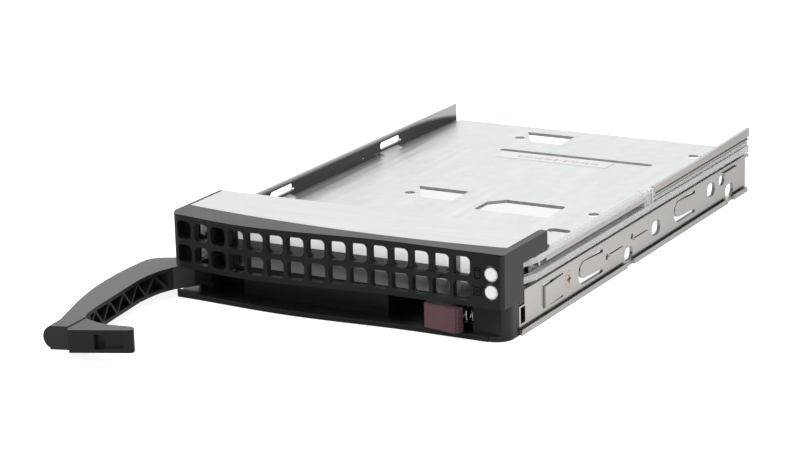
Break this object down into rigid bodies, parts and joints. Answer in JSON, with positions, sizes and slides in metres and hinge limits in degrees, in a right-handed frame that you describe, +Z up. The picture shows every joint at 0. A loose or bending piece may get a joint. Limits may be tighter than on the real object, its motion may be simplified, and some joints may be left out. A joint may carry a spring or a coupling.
{
  "type": "drive carrier",
  "caption": "Hot-swap drive tray: steel deck and side rails behind a perforated bezel, with a swinging latch lever, a release button and two light pipes.",
  "frame": {"origin": "on the base, at mid width, in the plane of the bezel's front right corner", "axes": "+X to the right across the bezel, +Y to the rear, into the bay, +Z up"},
  "size_m": [0.1171, 0.2394, 0.0249],
  "materials": {
    "deck_steel": "galvanised",
    "rail_steel": "brushed",
    "cover_steel": "satin",
    "black_plastic": "semi-matte",
    "button_plastic": "semi-matte",
    "spring_steel": "bright",
    "clear_plastic": "clear",
    "lens_plastic": "frosted",
    "screw_steel": "zinc plated",
    "label_paper": "matte"
  },
  "bodies": {
    "carrier": {"deck_plate": "deck_steel", "left_rail": "rail_steel", "right_rail": "rail_steel", "cover_plate": "cover_steel", "bezel_grille": "black_plastic", "latch_housing": "black_plastic", "lever_pivot_pin": "spring_steel", "lever_spring": "spring_steel", "button_spring": "spring_steel", "light_pipe_upper": "clear_plastic", "light_pipe_lower": "clear_plastic", "light_pipe_clip": "clear_plastic", "lens_upper": "lens_plastic", "lens_lower": "lens_plastic", "grounding_strip_left": "spring_steel", "grounding_strip_right": "spring_steel", "deck_screws": "screw_steel", "cover_rivets": "spring_steel", "deck_label": "label_paper"},
    "lever": {"lever_handle": "black_plastic", "lever_hook": "black_plastic", "lever_grip": "black_plastic"},
    "button": {"release_button": "button_plastic"}
  },
  "joints": [
    {"name": "lever_pivot", "type": "hinge", "parent": "carrier", "child": "lever", "pos_m": [-0.0488, 0.0132, 0.0058], "axis": [0, 0, 1], "range_deg": [0, 83], "stiffness_Nm_per_rad": 0.02, "springref_deg": -17.19},
    {"name": "button_slide", "type": "slide", "parent": "carrier", "child": "button", "axis": [1, 0, 0], "range_m": [0, 0.002], "stiffness_N_per_m": 300, "springref_m": -0.0005, "deforming": ["button_spring"]}
  ]
}
